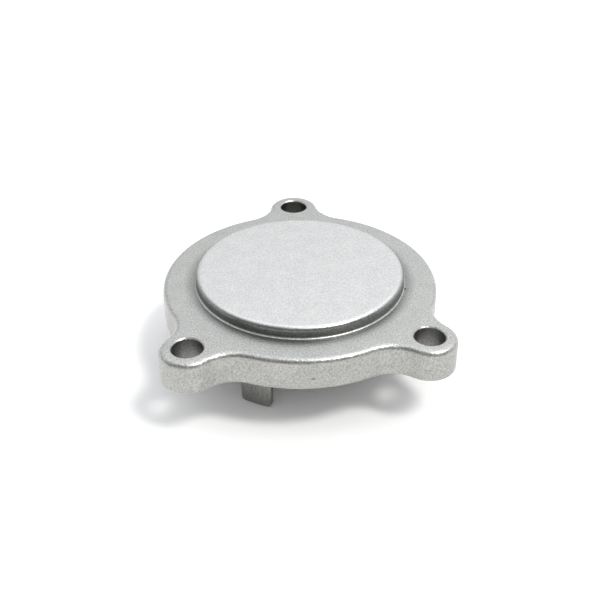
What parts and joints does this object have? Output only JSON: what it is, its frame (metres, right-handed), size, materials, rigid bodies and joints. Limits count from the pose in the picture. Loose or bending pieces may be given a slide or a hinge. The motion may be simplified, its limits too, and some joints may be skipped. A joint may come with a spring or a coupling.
{
  "type": "die-cast end cover",
  "caption": "Round die-cast cover with bolt ears on its rim, a raised disc outside, and a locating spigot with fingers inside.",
  "frame": {"origin": "on the cover's axis, in the plane of the sealing face, where the locating spigot meets the flange", "axes": "+Z along the cover's axis, out through the raised disc; +X along the front pair of bolt holes; +Y towards the single back ear"},
  "size_m": [0.062, 0.072, 0.0225],
  "materials": {
    "cast_aluminium": "satin, shot-blasted as-cast aluminium, fine-grained"
  },
  "bodies": {
    "root": {"end_cover_casting": "cast_aluminium"}
  },
  "joints": []
}
